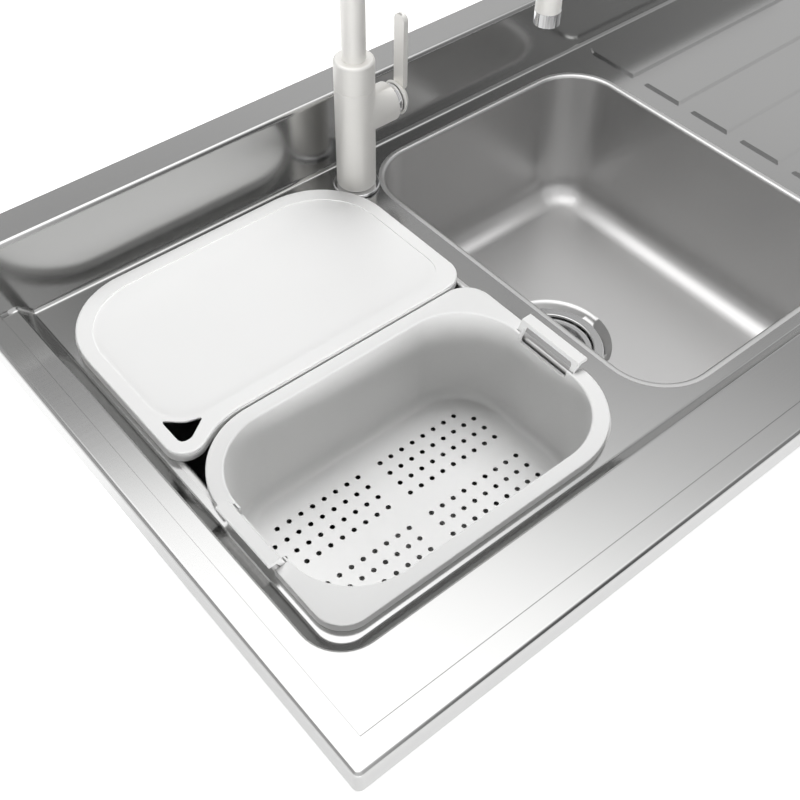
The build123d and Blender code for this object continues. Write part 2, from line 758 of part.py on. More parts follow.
def cutting_board():
    """Plastic board with a shallow field, a bulged front-left corner and a hole thinned from below.

    A fine moulding seam runs round its side, just under the rounded top edge.
    """
    nose_y = board_front - board_bulge
    outline = rounded_outline([
        (board_left, board_rear, board_rear_radius),
        (board_right, board_rear, board_rear_radius),
        (board_right, board_front, board_front_radius),
        (board_left + board_bulge_start, board_front, board_bulge_inner_radius),
        (board_left + board_bulge_foot, nose_y, board_bulge_outer_radius),
        (board_left, nose_y, board_nose_radius),
    ])
    board = column(outline, deck_z, deck_z + board_thickness)
    board = fillet(edges_at(board, z=deck_z + board_thickness), board_top_edge)
    board = chamfer(edges_at(board, z=deck_z), board_under_edge)
    seam_top = deck_z + board_thickness - board_top_edge
    board -= column(outline - offset(outline, amount=-board_seam_depth), seam_top - board_seam_height, seam_top)
    field_left = board_left + board_field_side
    field_right = board_right - board_field_side
    field_front = board_front + board_field_front
    field_rear = board_rear - board_field_rear
    field = rounded_outline([
        (field_left, field_rear, board_field_rear_radius),
        (field_right, field_rear, board_field_rear_radius),
        (field_right, field_front, board_field_right_radius),
        (field_left, field_front, board_field_front_radius),
    ])
    top = deck_z + board_thickness
    board -= column(field, top - board_field_depth, top + overrun)
    hx = board_left + hole_inset
    hy = nose_y + hole_front_inset
    hole = rounded_outline([
        (hx, hy + hole_height, hole_tip_radius),
        (hx + hole_waist_x, hy + hole_waist_y, hole_waist_radius),
        (hx + hole_width, hy + hole_tip_rise, hole_tip_radius),
        (hx + hole_foot_width, hy, hole_foot_radius),
        (hx, hy, hole_foot_radius),
    ])
    board -= column(offset(hole, amount=hole_relief), deck_z - overrun, top - hole_skin)
    return board - column(hole, deck_z - overrun, top + overrun)


def colander():
    """Plastic colander: flange over the deck, drafted walls, a perforated floor and two arched handles."""
    cx = left_bowl_x
    cy = colander_front + colander_length / 2
    flange_top = deck_z + colander_flange_height
    half_w = colander_width / 2
    half_l = colander_length / 2
    fw = half_w + colander_flange_side
    fl = half_l + colander_flange_end

    def flange_face(inset):
        return Pos(cx, cy) * rounded_outline([
            (-fw + inset, fl - inset, colander_open_corner_radius - inset),
            (fw - inset, fl - inset, colander_pad_corner_radius - inset),
            (fw - inset, -fl + inset, colander_open_corner_radius - inset),
            (-fw + inset, -fl + inset, colander_pad_corner_radius - inset),
        ])

    def pocket(inset, floor):
        width = colander_width - 2 * inset
        length = colander_length - 2 * inset
        radius = colander_corner_radius - inset
        shape = tapered_down(width, length, radius, cx, cy, deck_z, colander_depth - floor, colander_draft)
        level = deck_z - colander_depth + floor
        shape = fillet(edges_at(shape, z=level), colander_floor_radius - inset + colander_wall)
        return shape + column(Pos(cx, cy) * RectangleRounded(width, length, radius), deck_z, flange_top)

    flange = column(flange_face(0), deck_z + rest_gap, flange_top)
    flange = fillet(edges_at(flange, z=flange_top), colander_edge_radius)
    under = column(flange_face(colander_skirt), deck_z - overrun, flange_top - colander_flange_top)
    outer_wall = pocket(0, 0)
    body = (flange - under) + outer_wall
    body -= pocket(colander_wall, colander_floor_thickness)
    body = fillet(mouth_edges(body), colander_mouth_radius)

    for side in (-1, 1):
        body = add_handle(body, cx, cy, side, half_w)
    return body - colander_holes(cx, cy)


def handle_prism(profile, cx, cy, side, length):
    """Extrude an (outward, level) outline along the handle, on the left or right of the colander."""
    points = [(cx + side * out, cy - length / 2, level) for out, level in profile]
    face = make_face(Polyline(*points, close=True))
    return extrude(face, amount=length, dir=(0, 1, 0))


def add_handle(body, cx, cy, side, half_w):
    """Cut the flange at the middle of a short side and raise the arched handle there."""
    inner = half_w - colander_wall
    far = half_w + colander_flange_side + handle_bar_reach
    top = deck_z + handle_height
    bar_low = top - handle_bar_thickness
    sill = deck_z - handle_sill_drop
    clear = handle_prism([(half_w, deck_z - overrun), (far + overrun, deck_z - overrun),
                          (far + overrun, top + overrun), (half_w, top + overrun)],
                         cx, cy, side, handle_length)
    window = handle_prism([(inner - overrun, sill), (far, sill), (far, bar_low), (inner - overrun, bar_low)],
                          cx, cy, side, handle_length - 2 * handle_post)
    window = fillet(window.edges().filter_by(Axis.X), handle_post / 2)
    bar_inner = far - handle_bar_width
    post = handle_prism([(inner, deck_z - handle_sill_drop * 2), (half_w, deck_z - handle_sill_drop * 2),
                         (bar_inner + handle_bar_thickness, bar_low), (far, bar_low), (far, top),
                         (bar_inner, top), (inner, deck_z)],
                        cx, cy, side, handle_length)
    rounded = [e for e in post.edges().filter_by(Axis.Y) if e.center().Z > bar_low - sheet]
    post = fillet(rounded, handle_edge_radius)
    return (body - clear + post) - window


def colander_holes(cx, cy):
    """Drain holes of the floor, flared below: fields around a bare cross, without the outer corners."""
    holes = []
    under = deck_z - colander_depth
    low = under - overrun
    high = under + colander_floor_radius
    hole = revolved([(0, low), (colander_hole_flare_radius, low), (colander_hole_flare_radius, under),
                     (colander_hole_radius, under + colander_floor_thickness),
                     (colander_hole_radius, high), (0, high)])
    column_pitch = (colander_width - 2 * colander_hole_side_margin) / (colander_columns - 1)
    row_pitch = (colander_length - 2 * colander_hole_end_margin) / (colander_rows - 1)
    for column_index in range(colander_columns):
        i = column_index - (colander_columns - 1) / 2
        for row_index in range(colander_rows):
            j = row_index - (colander_rows - 1) / 2
            corner = abs(i) == (colander_columns - 1) / 2 and abs(j) == (colander_rows - 1) / 2
            if i == 0 or j == 0 or corner:
                continue
            holes.append(Pos(cx + i * column_pitch, cy + j * row_pitch) * hole)
    return holes


def turned_x(points):
    """Solid of revolution about the X axis, from (reach, radius) points."""
    return revolve(make_face(Polyline(*[(reach, 0, radius) for reach, radius in points], close=True)), Axis.X)


def arc_points(radius, angle_from, angle_to):
    """Start, middle and end of an arc about the origin, by its angles from +X towards +Z."""
    angles = (angle_from, (angle_from + angle_to) / 2, angle_to)
    return [(radius * math.cos(math.radians(a)), 0, radius * math.sin(math.radians(a))) for a in angles]


def dome_shell(outer, inner, angle_from, angle_to):
    """Part of a spherical shell about the origin, around +X, between two half angles."""
    outside = arc_points(outer, angle_from, angle_to)
    inside = arc_points(inner, angle_from, angle_to)
    face = make_face([ThreePointArc(*outside), Line(outside[2], inside[2]), ThreePointArc(*inside),
                      Line(inside[0], outside[0])])
    return revolve(face, Axis.X)


def build_tap_fixing():
    """Pieces that seat and clamp the tap on the deck, by node name."""
    foot_z = tap_gasket_thickness
    ring = tube(base_ring_radius, shank_radius + thread_gap, foot_z, tap_foot_z)
    rim = [e for e in edges_at(ring, z=tap_foot_z) if e.bounding_box().max.X > shank_radius + sheet]
    shank = disc(shank_radius, -shank_length, tap_foot_z + shank_socket_depth - rest_gap)
    for side in (-1, 1):
        shank -= disc(inlet_radius, -shank_length, inlet_depth - shank_length, side * inlet_spacing / 2)
    under = -sheet
    washer_low = under - under_washer_thickness
    steel_low = washer_low - steel_washer_thickness
    nut_low = steel_low - shank_nut_height
    bore = shank_radius + thread_gap
    nut = column(RegularPolygon(shank_nut_radius, shank_nut_sides), nut_low, steel_low)
    return {
        "tap_gasket": tube(tap_gasket_radius, tap_gasket_inner_radius, 0, foot_z),
        "tap_base_ring": fillet(rim, base_ring_edge_radius),
        "tap_shank": shank,
        "shank_rubber_washer": tube(under_washer_radius, bore, washer_low, under),
        "shank_steel_washer": tube(under_washer_radius, bore, steel_low, washer_low),
        "shank_nut": nut - disc(bore, nut_low, steel_low),
    }


def tap_body():
    """Tap body: a column with the valve's housing at its side and the spigot that carries the spout."""
    top = tap_foot_z + body_height
    body = disc(body_radius, tap_foot_z, top)
    body = fillet(edges_at(body, z=tap_foot_z), body_foot_radius)
    body = fillet(edges_at(body, z=top), body_top_radius)
    outward = Plane(origin=(0, 0, valve_height), x_dir=(0, 1, 0), z_dir=(1, 0, 0))
    inward = Plane(origin=(valve_reach, 0, valve_height), x_dir=(0, 1, 0), z_dir=(-1, 0, 0))
    body += extrude(outward * Circle(body_radius), amount=valve_reach)
    body += disc(spigot_radius, top, spigot_top)
    body -= disc(spigot_bore_radius, valve_height, spigot_top)
    body -= extrude(inward * Circle(valve_cavity_radius), amount=valve_cavity_depth)
    body -= disc(shank_radius + shank_socket_fit, tap_foot_z, tap_foot_z + shank_socket_depth)
    for low, high in seal_levels():
        body -= tube(spigot_radius + overrun, spigot_radius - spout_seal_section, low, high)
    return body


def seal_levels():
    """Lower and upper level of each spout seal."""
    levels = []
    for index in range(spout_seal_count):
        middle = tap_foot_z + body_height + (index + 1) * spout_seal_spacing
        levels.append((middle - spout_seal_section / 2, middle + spout_seal_section / 2))
    return levels


def cross_pin(radius, reach):
    """Cylinder along Y about the origin, reaching as far to either side."""
    across = Plane(origin=(0, -reach, 0), x_dir=(1, 0, 0), z_dir=(0, 1, 0))
    return extrude(across * Circle(radius), amount=2 * reach)


def build_valve():
    """Cartridge, its retainer, the rotor, the lever's pin and the domed cap, by node name."""
    back = valve_reach - valve_cavity_depth
    outer = valve_cavity_radius - cartridge_fit
    bore = rotor_shoulder_radius + rotor_fit
    front = valve_reach - retainer_thickness
    seat = valve_reach - rotor_length
    start = seat + rotor_end_gap
    shoulder = front - rotor_end_gap
    flange = valve_reach + rotor_end_gap
    end = flange + rotor_flange_thickness
    cap_inner = cap_radius - cap_wall
    rim = [(reach, math.sqrt(cap_inner ** 2 - (reach - valve_reach) ** 2) - rotor_fit)
           for reach in (flange, end)]
    here = Pos(0, 0, valve_height)
    pivot = Pos(valve_reach, 0, valve_height)
    rotor = here * turned_x([(start, rotor_bore_radius), (start, rotor_shoulder_radius),
                             (shoulder, rotor_shoulder_radius), (shoulder, rotor_outer_radius),
                             (flange, rotor_outer_radius), *rim, (end, rotor_bore_radius)])
    pin_reach = rotor_outer_radius - lever_pin_inset
    pin = cross_pin(lever_pin_radius, pin_reach)
    pin_hole = cross_pin(lever_pin_radius + lever_pin_fit, pin_reach)
    return {
        "cartridge": here * turned_x([(back, 0), (back, outer), (front, outer), (front, bore), (seat, bore),
                                      (seat, 0)]),
        "cartridge_retainer": here * turned_x([(front, retainer_inner_radius), (front, outer),
                                               (valve_reach, outer), (valve_reach, retainer_inner_radius)]),
        "cartridge_rotor": rotor - pivot * pin_hole,
        "lever_pin": pivot * pin,
        "cartridge_cap": pivot * dome_shell(cap_radius, cap_inner, cap_mouth_angle, 90),
    }


def build_lever():
    """Lever with its ball, stem, domed hub and blade, and the screw that locks it, by node name."""
    hub_inner = cap_radius + lever_hub_gap
    hub_outer = hub_inner + lever_hub_wall
    hub = dome_shell(hub_outer, hub_inner, 0, lever_hub_angle)
    outward = Plane(origin=(0, 0, 0), x_dir=(0, 1, 0), z_dir=(1, 0, 0))
    hub += extrude(outward * Circle(lever_stem_radius), amount=hub_inner + lever_hub_wall / 2)
    hub += Sphere(rotor_bore_radius - lever_ball_fit)
    hub -= cross_pin(lever_pin_radius + lever_pin_fit, rotor_bore_radius)
    start = lever_blade_width / 2
    outline = Pos(0, (start + lever_blade_length) / 2) * RectangleRounded(
        lever_blade_width, lever_blade_length - start, lever_blade_tip_radius)
    blade_plane = Plane(origin=(hub_outer - lever_blade_thickness, 0, 0), x_dir=(0, 1, 0), z_dir=(1, 0, 0))
    blade = extrude(blade_plane * outline, amount=lever_blade_thickness)
    blade = fillet(blade.edges().group_by(Axis.X)[-1], lever_blade_edge_radius)
    blade -= Sphere(hub_inner)
    inward = Plane(origin=(hub_outer, 0, 0), x_dir=(0, 1, 0), z_dir=(-1, 0, 0))
    screw = extrude(inward * Circle(lever_screw_radius), amount=lever_screw_length)
    pivot = Pos(valve_reach, 0, valve_height)
    return {"tap_lever": pivot * (hub + blade - screw), "lever_screw": pivot * screw}


def swan_neck(radius, low, bend_z):
    """Solid round bar that rises, turns over in a half circle towards +X and comes down a little."""
    foot = Plane(origin=(0, 0, low), x_dir=(1, 0, 0), z_dir=(0, 0, 1)) * Circle(radius)
    rise = extrude(foot, amount=bend_z - low)
    start = Plane(origin=(0, 0, bend_z), x_dir=(1, 0, 0), z_dir=(0, 0, 1)) * Circle(radius)
    bend = revolve(start, Axis((spout_bend_radius, 0, bend_z), (0, 1, 0)), 180)
    end = Plane(origin=(2 * spout_bend_radius, 0, bend_z), x_dir=(1, 0, 0), z_dir=DOWN) * Circle(radius)
    return rise + bend + extrude(end, amount=spout_drop)


def build_spout():
    """Swivelling spout and its aerator, in their rest direction, by node name."""
    sleeve_low = tap_foot_z + body_height + rest_gap
    sleeve = disc(body_radius, sleeve_low, sleeve_low + sleeve_height)
    sleeve = fillet(edges_at(sleeve, z=sleeve_low + sleeve_height), sleeve_edge_radius)
    bend_z = tap_foot_z + spout_rise
    outlet = bend_z - spout_drop
    neck = swan_neck(spout_tube_radius, sleeve_low + sleeve_height / 2, bend_z)
    bore = swan_neck(spout_tube_radius - spout_tube_wall, spigot_top, bend_z)
    socket = disc(spigot_radius + spigot_fit, sleeve_low, spigot_top + rest_gap)
    end = Pos(2 * spout_bend_radius, 0)
    thread_radius = spout_tube_radius - spout_tube_wall / 2
    turned_down = tube(spout_tube_radius + overrun, thread_radius, outlet - overrun, outlet + aerator_overlap)
    low = outlet + aerator_overlap - aerator_height
    inner = aerator_radius - aerator_wall
    housing = tube(aerator_radius, inner, low, outlet + aerator_overlap)
    housing += tube(aerator_radius, inner - aerator_wall, low, low + aerator_wall)
    housing -= disc(thread_radius + thread_gap, outlet, outlet + aerator_overlap)
    insert_low = low + aerator_wall
    insert_top = insert_low + aerator_insert_height
    insert = disc(inner - aerator_fit, insert_low, insert_top)
    holes = [disc(aerator_hole_radius, insert_low, insert_top)]
    for ring in range(1, aerator_hole_rings + 1):
        count = aerator_hole_first_count * ring
        spot = Pos(ring * aerator_hole_ring_pitch, 0)
        holes += [Rot(0, 0, 360 * index / count) * spot * disc(aerator_hole_radius, insert_low, insert_top)
                  for index in range(count)]
    turn = Rot(0, 0, spout_rest_angle)
    return {
        "spout": turn * (sleeve + neck - bore - socket - end * turned_down),
        "aerator_housing": turn * end * housing,
        "aerator_insert": turn * end * (insert - holes),
    }


def build_tap():
    """Every piece of the tap at its place on the deck, by node name."""
    seal_bore = spigot_radius - spout_seal_section
    seals = [tube(spigot_radius, seal_bore, low, high) for low, high in seal_levels()]
    parts = {**build_tap_fixing(), "tap_body": tap_body(), **build_valve(), **build_lever(), **build_spout(),
             "spout_seals": Compound(children=[seal.solid() for seal in seals])}
    return {name: Pos(tap_x, tap_y, deck_z) * shape for name, shape in parts.items()}


def main():
    """Build every sub-part and write it."""
    os.makedirs("parts", exist_ok=True)
    write("sink_top", sink_top())
    for name, x in bowls.items():
        write(f"{name}_bowl", bowl(x, drains[name]))
        write(f"{name}_sound_pad", sound_pad(x, drains[name]))
    plates, screws = build_brackets()
    for name, shape in build_rails().items():
        write(name, screw_holes(shape, screws) if name in ("left_rail", "right_rail") else shape)
    write("fixing_brackets", Compound(children=[p.solid() for p in plates]))
    write("bracket_screws", Compound(children=[s.solid() for s in screws]))
    for name, x in drains.items():
        for piece, shape in {**build_waste(x), **build_basket(x)}.items():
            write(f"{name}_{piece}", shape)
    write("cutting_board", cutting_board())
    write("colander", colander())
    for name, shape in build_tap().items():
        write(name, shape)


if __name__ == "__main__":
    main()
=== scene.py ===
"""Looks of the top-mount kitchen sink: finishes, smooth shells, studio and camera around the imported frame.

Lengths are in metres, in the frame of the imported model: +X right, +Y to the back, +Z up.
"""
import json
import logging
import math
from dataclasses import dataclass, field
from enum import Enum
from typing import Iterable, Union

import bpy
from mathutils import Matrix, Vector


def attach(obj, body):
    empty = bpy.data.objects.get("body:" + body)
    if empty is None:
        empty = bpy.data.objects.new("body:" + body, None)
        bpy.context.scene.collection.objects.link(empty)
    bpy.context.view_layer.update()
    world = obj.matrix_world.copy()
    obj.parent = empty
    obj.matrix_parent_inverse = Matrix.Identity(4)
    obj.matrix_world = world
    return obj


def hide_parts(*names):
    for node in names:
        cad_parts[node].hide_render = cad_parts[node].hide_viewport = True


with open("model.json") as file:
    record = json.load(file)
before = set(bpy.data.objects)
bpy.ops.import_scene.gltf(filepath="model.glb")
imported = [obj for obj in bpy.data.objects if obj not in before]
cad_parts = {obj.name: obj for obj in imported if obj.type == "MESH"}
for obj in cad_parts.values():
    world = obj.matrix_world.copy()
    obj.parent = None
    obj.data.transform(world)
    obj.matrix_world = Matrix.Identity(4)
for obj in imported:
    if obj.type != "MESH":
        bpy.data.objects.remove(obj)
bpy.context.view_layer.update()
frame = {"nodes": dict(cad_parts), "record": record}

LOG = logging.getLogger("sink")
Number = Union[float, "Term"]
Colour = tuple[float, float, float]
Place = tuple[float, float, float]
Finish = Union["Metal", "Plastic"]
Stops = tuple[tuple[float, float], ...]
WHITE = (1.0, 1.0, 1.0, 1.0)
HALF = 0.5


class Brush(Enum):
    """Direction of the fine lines left on a metal surface, as stretches of the noise along X, Y and Z."""

    LENGTH = (6.0, 1400.0, 1400.0)
    HEIGHT = (1400.0, 1400.0, 6.0)
    SATIN = (900.0, 900.0, 900.0)


@dataclass(frozen=True)
class Term:
    """A shader socket that can be used in sums.

    Args:
        graph: the node graph that the socket belongs to.
        socket: the output socket.
    """

    graph: "Graph"
    socket: bpy.types.NodeSocket

    def joined(self, operation: str, first: Number, second: Number) -> "Term":
        """Add one Math node.

        Args:
            operation: the node's operation.
            first: its first value or term.
            second: its second value or term.

        Returns:
            The result as a term.
        """
        node = self.graph.add("ShaderNodeMath", {"operation": operation}, {0: first, 1: second})
        return Term(self.graph, node.outputs[0])

    def __add__(self, other: Number) -> "Term":
        """Sum."""
        return self.joined("ADD", self, other)

    def __radd__(self, other: Number) -> "Term":
        """Sum with a number before it."""
        return self.joined("ADD", other, self)

    def __sub__(self, other: Number) -> "Term":
        """Difference."""
        return self.joined("SUBTRACT", self, other)

    def __rsub__(self, other: Number) -> "Term":
        """Difference from a number."""
        return self.joined("SUBTRACT", other, self)

    def __mul__(self, other: Number) -> "Term":
        """Product."""
        return self.joined("MULTIPLY", self, other)

    def __rmul__(self, other: Number) -> "Term":
        """Product with a number before it."""
        return self.joined("MULTIPLY", other, self)


class Graph:
    """Node graph of a material or of the world."""

    def __init__(self, owner: Union[bpy.types.Material, bpy.types.World]) -> None:
        """Empty the owner's node tree.

        Args:
            owner: the material or world that gets the graph.
        """
        owner.use_nodes = True
        self.tree = owner.node_tree
        self.tree.nodes.clear()

    def add(self, kind: str, settings: dict, inputs: dict) -> bpy.types.Node:
        """Add a node.

        Args:
            kind: the node's type.
            settings: attributes set before its inputs.
            inputs: values, terms or sockets by input name or index.

        Returns:
            The new node.
        """
        node = self.tree.nodes.new(kind)
        for name, value in settings.items():
            setattr(node, name, value)
        for name, value in inputs.items():
            if isinstance(value, Term):
                self.tree.links.new(value.socket, node.inputs[name])
            elif isinstance(value, bpy.types.NodeSocket):
                self.tree.links.new(value, node.inputs[name])
            else:
                node.inputs[name].default_value = value
        return node

    def place(self, stretch: Place) -> bpy.types.NodeSocket:
        """Object coordinates stretched by a factor along each axis.

        Args:
            stretch: the factors.

        Returns:
            The vector socket.
        """
        where = self.add("ShaderNodeTexCoord", {}, {}).outputs["Object"]
        node = self.add("ShaderNodeMapping", {}, {"Vector": where, "Scale": stretch})
        return node.outputs["Vector"]

    def noise(self, stretch: Place, detail: float = 2.0, rough: float = 0.5) -> Term:
        """Noise from 0 to 1 over stretched object coordinates.

        Args:
            stretch: factors along the axes, in features per metre.
            detail: octaves.
            rough: share of the finer octaves.

        Returns:
            The noise's factor.
        """
        values = {"Vector": self.place(stretch), "Scale": 1.0, "Detail": detail, "Roughness": rough}
        node = self.add("ShaderNodeTexNoise", {"noise_dimensions": "3D"}, values)
        return Term(self, node.outputs["Fac"])

    def ramp(self, factor: Number, stops: Stops) -> Term:
        """Level read from straight stretches between stops.

        Args:
            factor: where to read, from 0 to 1.
            stops: (place, level) pairs in order.

        Returns:
            The level as a term.
        """
        peak = max(level for _, level in stops)
        node = self.add("ShaderNodeFloatCurve", {}, {"Value": factor})
        curve = node.mapping.curves[0]
        curve.points[0].location = (0.0, stops[0][1] / peak)
        curve.points[1].location = (1.0, stops[-1][1] / peak)
        for place, level in stops:
            if 0.0 < place < 1.0:
                curve.points.new(place, level / peak)
        for point in curve.points:
            point.handle_type = "VECTOR"
        node.mapping.update()
        return Term(self, node.outputs["Value"]) * peak

    @staticmethod
    def mixed(share: Term, first: Number, second: Number) -> Term:
        """Value between two others.

        Args:
            share: share of the second.
            first: the first value or term.
            second: the second value or term.

        Returns:
            Their mix.
        """
        return share * second + (1.0 - share) * first

    def tinted(self, factor: Number, low: Colour, high: Colour) -> bpy.types.NodeSocket:
        """Mix of two colours.

        Args:
            factor: share of the second colour.
            low: first colour.
            high: second colour.

        Returns:
            The colour socket.
        """
        node = self.add("ShaderNodeMix", {"data_type": "RGBA"}, {"Factor": factor})
        node.inputs["A"].default_value = (*low, 1.0)
        node.inputs["B"].default_value = (*high, 1.0)
        return node.outputs["Result"]

    def bump(self, height: Term, distance: float, strength: float) -> bpy.types.NodeSocket:
        """Normal bent by a height.

        Args:
            height: the height from 0 to 1.
            distance: its depth in metres.
            strength: its share.

        Returns:
            The normal socket.
        """
        values = {"Height": height, "Distance": distance, "Strength": strength}
        return self.add("ShaderNodeBump", {}, values).outputs["Normal"]

    def finish(self, shader: bpy.types.Node, target: str = "ShaderNodeOutputMaterial") -> None:
        """Connect a shader to a new output node.

        Args:
            shader: the node whose first output is shown.
            target: the output node's type.
        """
        self.add(target, {}, {"Surface": shader.outputs[0]})


@dataclass(frozen=True)
class Metal:
    """A metal with brushing lines, soft clouds and a fine bump.

    Args:
        name: the material's name.
        colour: reflected colour.
        roughness: mean roughness.
        brush: direction of the lines.
        lines: how much the lines change the roughness.
        clouds: how much large soft clouds change the roughness.
        relief: depth of the lines in metres.
        relief_share: share of the relief that bends the light.
        line_detail: octaves of the lines.
        line_rough: share of their finer octaves.
        cloud_grain: clouds per metre.
        shade: share of the colour that the darkest spots keep.
    """

    name: str
    colour: Colour
    roughness: float
    brush: Brush = Brush.SATIN
    lines: float = 0.05
    clouds: float = 0.04
    relief: float = 0.0000006
    relief_share: float = 0.6
    line_detail: float = 3.0
    line_rough: float = 0.6
    cloud_grain: float = 5.0
    shade: float = 0.94

    def build(self) -> bpy.types.Material:
        """Make the material.

        Returns:
            The material.
        """
        material = bpy.data.materials.new(self.name)
        graph = Graph(material)
        lines = graph.noise(self.brush.value, self.line_detail, self.line_rough)
        clouds = graph.noise((self.cloud_grain,) * 3)
        dark = tuple(part * self.shade for part in self.colour)
        colour = graph.tinted(clouds * HALF + lines * HALF, dark, self.colour)
        rough = self.roughness + (lines - HALF) * self.lines + (clouds - HALF) * self.clouds
        values = {"Base Color": colour, "Metallic": 1.0, "Roughness": rough,
                  "Normal": graph.bump(lines, self.relief, self.relief_share)}
        graph.finish(graph.add("ShaderNodeBsdfPrincipled", {}, values))
        return material


@dataclass(frozen=True)
class Plastic:
    """A moulded plastic with faint mottling and a fine spark-eroded texture.

    Args:
        name: the material's name.
        colour: its colour.
        roughness: mean roughness.
        texture: depth of the fine texture in metres.
        grain: features of the texture per metre.
        texture_share: share of the texture that bends the light.
        fine: how much the texture changes the roughness.
        clouds: how much large soft clouds change the roughness.
        cloud_grain: clouds per metre.
        shade: share of the colour that the darkest spots keep.
    """

    name: str
    colour: Colour
    roughness: float
    texture: float = 0.00001
    grain: float = 1800.0
    texture_share: float = 0.5
    fine: float = 0.08
    clouds: float = 0.06
    cloud_grain: float = 9.0
    shade: float = 0.965

    def build(self) -> bpy.types.Material:
        """Make the material.

        Returns:
            The material.
        """
        material = bpy.data.materials.new(self.name)
        graph = Graph(material)
        fine = graph.noise((self.grain,) * 3)
        clouds = graph.noise((self.cloud_grain,) * 3)
        low = tuple(part * self.shade for part in self.colour)
        values = {"Base Color": graph.tinted(clouds, low, self.colour),
                  "Roughness": self.roughness + (fine - HALF) * self.fine + (clouds - HALF) * self.clouds,
                  "Normal": graph.bump(fine, self.texture, self.texture_share)}
        graph.finish(graph.add("ShaderNodeBsdfPrincipled", {}, values))
        return material


@dataclass(frozen=True)
class Finishes:
    """Every finish of the sink, made once."""

    deck: Metal = Metal("brushed_deck_steel", (0.54, 0.54, 0.536), 0.17, Brush.LENGTH)
    bowl: Metal = Metal("satin_bowl_steel", (0.62, 0.617, 0.614), 0.38, Brush.HEIGHT, lines=0.03, clouds=0.05)
    waste: Metal = Metal("polished_waste_steel", (0.66, 0.66, 0.66), 0.16, lines=0.03, clouds=0.03)
    tap: Metal = Metal("satin_tap_metal", (0.92, 0.91, 0.885), 0.60, Brush.HEIGHT, clouds=0.03)
    chrome: Metal = Metal("polished_chrome", (0.80, 0.80, 0.81), 0.07, lines=0.02, clouds=0.02,
                          relief=0.000001)
    rail: Metal = Metal("mill_finish_rail", (0.62, 0.63, 0.64), 0.38, Brush.LENGTH, lines=0.08, clouds=0.05)
    zinc: Metal = Metal("zinc_plated_steel", (0.58, 0.60, 0.62), 0.34, clouds=0.12)
    brass: Metal = Metal("machined_brass", (0.72, 0.58, 0.33), 0.26, clouds=0.05)
    board: Plastic = Plastic("white_board_plastic", (0.86, 0.86, 0.855), 0.42)
    colander: Plastic = Plastic("white_colander_plastic", (0.80, 0.80, 0.795), 0.36, texture=0.000006)
    waste_plastic: Plastic = Plastic("waste_plastic", (0.72, 0.72, 0.70), 0.40)
    rubber: Plastic = Plastic("seal_rubber", (0.035, 0.035, 0.037), 0.62, texture=0.00003, grain=900.0)
    pad: Plastic = Plastic("bitumen_pad", (0.05, 0.05, 0.055), 0.78, texture=0.0002, grain=350.0)
    cartridge: Plastic = Plastic("cartridge_plastic", (0.16, 0.17, 0.19), 0.45)


def deselect() -> None:
    """Leave nothing selected, in object mode."""
    if bpy.context.object is not None and bpy.context.object.mode != "OBJECT":
        bpy.ops.object.mode_set(mode="OBJECT")
    bpy.ops.object.select_all(action="DESELECT")


def activate(piece: bpy.types.Object) -> None:
    """Select one object alone and make it active."""
    deselect()
    piece.select_set(True)
    bpy.context.view_layer.objects.active = piece


def body_of_node(node: str) -> str:
    """Body that carries a CAD node.

    Args:
        node: the node's name.

    Returns:
        The body's name.
    """
    bodies = frame["record"]["behaviour"]["bodies"]
    return next(body for body, nodes in bodies.items() if node in nodes)


@dataclass
class Shell:
    """A CAD node's shape, welded into one smooth surface.

    Args:
        node: the CAD node.
        weld: distance under which its corners are welded.
        flat: angle in degrees under which neighbouring faces become one.
        crease: angle in degrees over which an edge stays sharp.
        weight: how strongly large faces set the smooth normals, from 1 to 100.
    """

    node: str
    weld: float = 0.000004
    flat: float = 0.05
    crease: float = 32.0
    weight: int = 100

    def build(self) -> bpy.types.Object:
        """Make the welded copy at the node's place.

        Returns:
            The piece, riding on the node's body in its stead.
        """
        source = frame["nodes"][self.node]
        piece = bpy.data.objects.new(f"{self.node}_shell", source.data.copy())
        bpy.context.scene.collection.objects.link(piece)
        piece.data.materials.clear()
        activate(piece)
        bpy.ops.object.mode_set(mode="EDIT")
        bpy.ops.mesh.select_all(action="SELECT")
        bpy.ops.mesh.remove_doubles(threshold=self.weld)
        bpy.ops.mesh.normals_make_consistent(inside=False)
        bpy.ops.mesh.dissolve_limited(angle_limit=math.radians(self.flat))
        bpy.ops.object.mode_set(mode="OBJECT")
        bpy.ops.object.shade_smooth_by_angle(angle=math.radians(self.crease))
        weighted = piece.modifiers.new("weighted", "WEIGHTED_NORMAL")
        weighted.keep_sharp = True
        weighted.weight = self.weight
        bpy.ops.object.modifier_apply(modifier=weighted.name)
        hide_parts(self.node)
        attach(piece, body_of_node(self.node))
        return piece


def dress(piece: bpy.types.Object, material: bpy.types.Material) -> None:
    """Give a piece one material all over."""
    piece.data.materials.clear()
    piece.data.materials.append(material)


